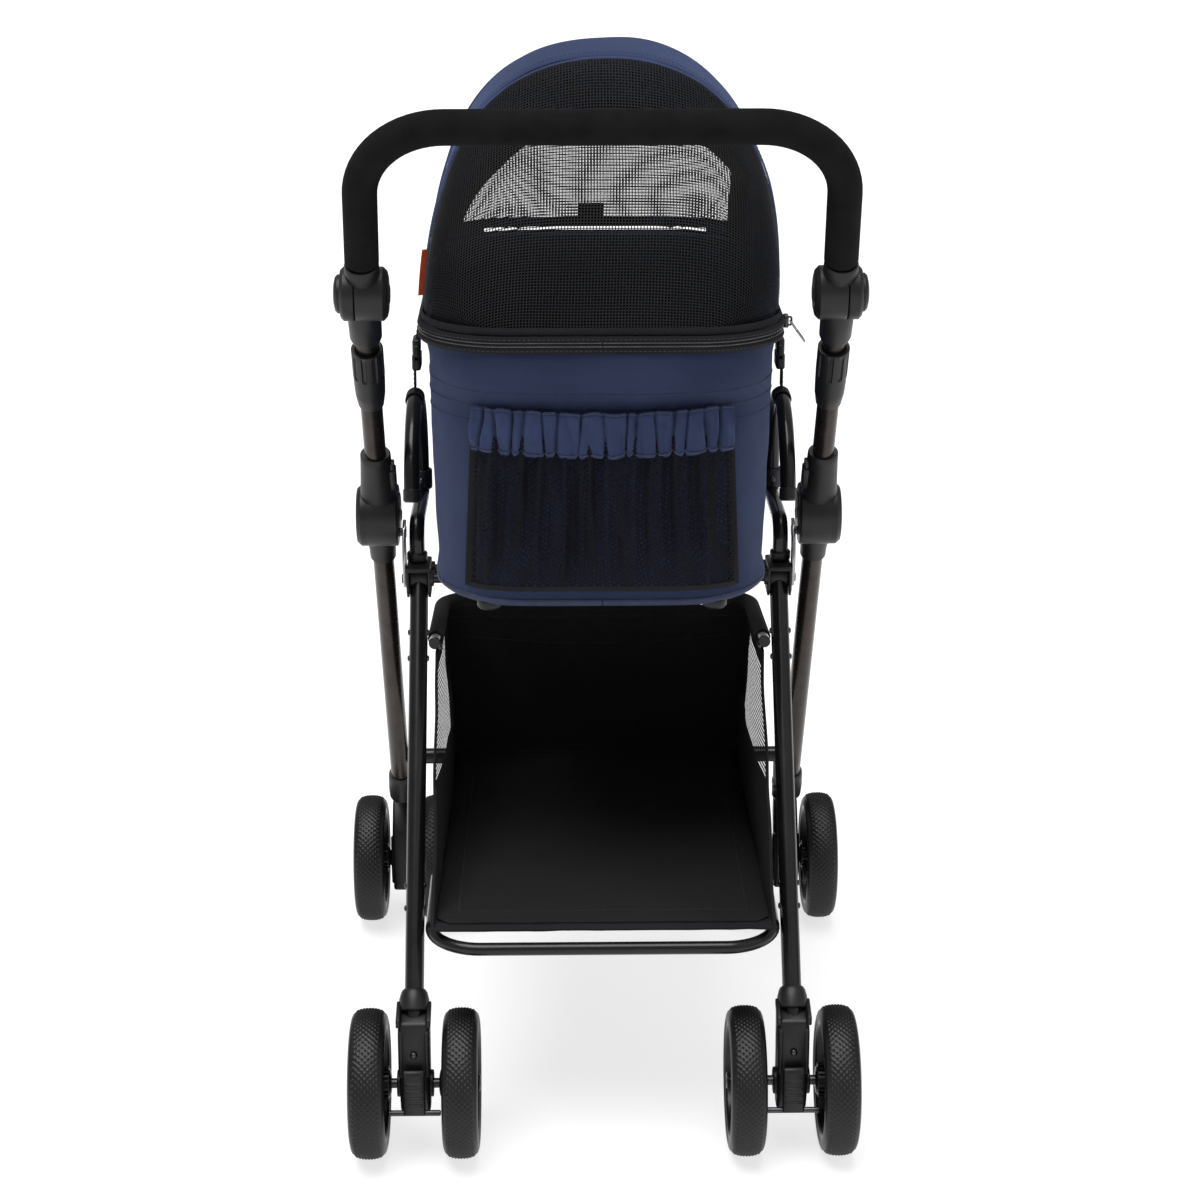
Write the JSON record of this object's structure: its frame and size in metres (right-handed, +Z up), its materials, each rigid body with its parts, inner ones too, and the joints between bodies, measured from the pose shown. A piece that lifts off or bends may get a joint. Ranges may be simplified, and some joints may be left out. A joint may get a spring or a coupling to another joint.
{
  "type": "pet stroller",
  "caption": "Folding pet stroller with a lift-off fabric carrier and dome hood, push handle with foam grip, twin wheels and a storage basket",
  "frame": {"origin": "on the floor, under the middle of the wheelbase, midway between the left and right wheels", "axes": "+Z up, +Y forward in the direction of travel, +X to the right hand of the person pushing"},
  "size_m": [0.572, 0.7, 1.0655],
  "materials": {
    "dark_tube": "satin dark anodised",
    "gloss_tube": "gloss black powder coat",
    "black_plastic": "fine matte moulding",
    "foam": "matte foam",
    "tyre": "matte, diamond tread",
    "navy_cloth": "plain weave polyester",
    "black_cloth": "plain weave polyester",
    "black_mesh": "open mesh",
    "steel": "bright"
  },
  "bodies": {
    "frame": {"front_leg_left": "dark_tube", "front_leg_right": "dark_tube", "fold_hub_inner_left": "black_plastic", "fold_hub_inner_right": "black_plastic", "caster_socket_left": "black_plastic", "caster_socket_right": "black_plastic", "front_cross_tube": "gloss_tube", "cradle_rod_rear": "gloss_tube", "cradle_rod_front": "gloss_tube", "cradle_bracket_left": "black_plastic", "cradle_bracket_right": "black_plastic", "link_plate_left": "steel", "link_plate_right": "steel", "arch_tube_left": "gloss_tube", "arch_tube_right": "gloss_tube"},
    "handle_arms": {"fold_hub_outer_left": "black_plastic", "fold_hub_outer_right": "black_plastic", "arm_tube_left": "dark_tube", "arm_tube_right": "dark_tube", "tilt_joint_lower_left": "black_plastic", "tilt_joint_lower_right": "black_plastic"},
    "handlebar": {"handlebar_tube": "gloss_tube", "foam_grip": "foam", "tilt_joint_upper_left": "black_plastic", "tilt_joint_upper_right": "black_plastic"},
    "rear_frame": {"rear_leg_left": "gloss_tube", "rear_leg_right": "gloss_tube", "rear_housing_left": "black_plastic", "rear_housing_right": "black_plastic", "rear_axle_left": "steel", "rear_axle_right": "steel", "basket_lower_hoop": "gloss_tube", "basket": "black_cloth"},
    "basket_hoop": {"basket_upper_hoop": "gloss_tube"},
    "carrier": {"carrier_tub": "navy_cloth", "cushion": "navy_cloth", "carrier_base": "black_plastic", "rear_pocket": "black_mesh", "zip_band": "black_cloth", "side_strap_left": "black_plastic", "side_strap_right": "black_plastic"},
    "hood": {"hood_canopy": "navy_cloth", "hood_rear_mesh": "black_mesh"},
    "zip_slider": {"zip_slider": "steel"},
    "release_collar_left": {"release_collar_left": "black_plastic"},
    "tilt_button_left": {"tilt_button_left": "black_plastic"},
    "brake_pedal_left": {"brake_pedal_left": "black_plastic"},
    "caster_left": {"caster_fork_left": "black_plastic"},
    "front_wheel_left_outer": {"front_wheel_left_outer": "tyre"},
    "front_wheel_left_inner": {"front_wheel_left_inner": "tyre"},
    "rear_wheel_left_outer": {"rear_wheel_left_outer": "tyre"},
    "rear_wheel_left_inner": {"rear_wheel_left_inner": "tyre"},
    "release_collar_right": {"release_collar_right": "black_plastic"},
    "tilt_button_right": {"tilt_button_right": "black_plastic"},
    "brake_pedal_right": {"brake_pedal_right": "black_plastic"},
    "caster_right": {"caster_fork_right": "black_plastic"},
    "front_wheel_right_outer": {"front_wheel_right_outer": "tyre"},
    "front_wheel_right_inner": {"front_wheel_right_inner": "tyre"},
    "rear_wheel_right_outer": {"rear_wheel_right_outer": "tyre"},
    "rear_wheel_right_inner": {"rear_wheel_right_inner": "tyre"}
  },
  "joints": [
    {"name": "arm_fold", "type": "hinge", "parent": "frame", "child": "handle_arms", "pos_m": [0, 0.013, 0.582], "axis": [-1, 0, 0], "range_deg": [0, 125]},
    {"name": "rear_leg_fold", "type": "hinge", "parent": "frame", "child": "rear_frame", "pos_m": [0, 0, 0.518], "axis": [1, 0, 0], "range_deg": [0, 45], "deforming": ["basket"]},
    {"name": "basket_hoop_fold", "type": "hinge", "parent": "rear_frame", "child": "basket_hoop", "pos_m": [0, -0.045, 0.46], "axis": [-1, 0, 0], "range_deg": [0, 45]},
    {"name": "handle_tilt", "type": "hinge", "parent": "handle_arms", "child": "handlebar", "pos_m": [0, -0.14243, 0.84906], "axis": [-1, 0, 0], "range_deg": [-75, 30]},
    {"name": "carrier_lift", "type": "slide", "parent": "frame", "child": "carrier", "axis": [0, 0, 1], "range_m": [0, 0.6]},
    {"name": "hood_open", "type": "hinge", "parent": "carrier", "child": "hood", "pos_m": [0, 0.3265, 0.8225], "axis": [-1, 0, 0], "range_deg": [0, 100]},
    {"name": "zip_slide", "type": "slide", "parent": "carrier", "child": "zip_slider", "axis": [0, 1, 0], "range_m": [0, 0.3]},
    {"name": "release_pull_left", "type": "slide", "parent": "handle_arms", "child": "release_collar_left", "axis": [0, -0.503, 0.8643], "range_m": [0, 0.01], "stiffness_N_per_m": 800, "springref_m": -0.003},
    {"name": "tilt_press_left", "type": "slide", "parent": "handle_arms", "child": "tilt_button_left", "axis": [1, 0, 0], "range_m": [0, 0.004], "stiffness_N_per_m": 1500, "springref_m": -0.001},
    {"name": "brake_press_left", "type": "hinge", "parent": "rear_frame", "child": "brake_pedal_left", "pos_m": [-0.188, -0.305, 0.078], "axis": [1, 0, 0], "range_deg": [0, 18]},
    {"name": "swivel_left", "type": "hinge", "parent": "frame", "child": "caster_left", "pos_m": [-0.228, 0.298, 0.15], "axis": [0, 0, 1], "continuous": true},
    {"name": "front_spin_left_outer", "type": "hinge", "parent": "caster_left", "child": "front_wheel_left_outer", "pos_m": [-0.267, 0.275, 0.075], "axis": [1, 0, 0], "continuous": true},
    {"name": "rear_spin_left_outer", "type": "hinge", "parent": "rear_frame", "child": "rear_wheel_left_outer", "pos_m": [-0.234, -0.275, 0.075], "axis": [1, 0, 0], "continuous": true},
    {"name": "front_spin_left_inner", "type": "hinge", "parent": "caster_left", "child": "front_wheel_left_inner", "pos_m": [-0.189, 0.275, 0.075], "axis": [1, 0, 0], "continuous": true},
    {"name": "rear_spin_left_inner", "type": "hinge", "parent": "rear_frame", "child": "rear_wheel_left_inner", "pos_m": [-0.142, -0.275, 0.075], "axis": [1, 0, 0], "continuous": true},
    {"name": "release_pull_right", "type": "slide", "parent": "handle_arms", "child": "release_collar_right", "axis": [0, -0.503, 0.8643], "range_m": [0, 0.01], "stiffness_N_per_m": 800, "springref_m": -0.003},
    {"name": "tilt_press_right", "type": "slide", "parent": "handle_arms", "child": "tilt_button_right", "axis": [-1, 0, 0], "range_m": [0, 0.004], "stiffness_N_per_m": 1500, "springref_m": -0.001},
    {"name": "brake_press_right", "type": "hinge", "parent": "rear_frame", "child": "brake_pedal_right", "pos_m": [0.188, -0.305, 0.078], "axis": [1, 0, 0], "range_deg": [0, 18]},
    {"name": "swivel_right", "type": "hinge", "parent": "frame", "child": "caster_right", "pos_m": [0.228, 0.298, 0.15], "axis": [0, 0, 1], "continuous": true},
    {"name": "front_spin_right_outer", "type": "hinge", "parent": "caster_right", "child": "front_wheel_right_outer", "pos_m": [0.267, 0.275, 0.075], "axis": [1, 0, 0], "continuous": true},
    {"name": "rear_spin_right_outer", "type": "hinge", "parent": "rear_frame", "child": "rear_wheel_right_outer", "pos_m": [0.234, -0.275, 0.075], "axis": [1, 0, 0], "continuous": true},
    {"name": "front_spin_right_inner", "type": "hinge", "parent": "caster_right", "child": "front_wheel_right_inner", "pos_m": [0.189, 0.275, 0.075], "axis": [1, 0, 0], "continuous": true},
    {"name": "rear_spin_right_inner", "type": "hinge", "parent": "rear_frame", "child": "rear_wheel_right_inner", "pos_m": [0.142, -0.275, 0.075], "axis": [1, 0, 0], "continuous": true}
  ],
  "couplings": [
    {"joint": "rear_leg_fold", "follows": "arm_fold", "ratio": 0.36},
    {"joint": "basket_hoop_fold", "follows": "arm_fold", "ratio": 0.36}
  ]
}
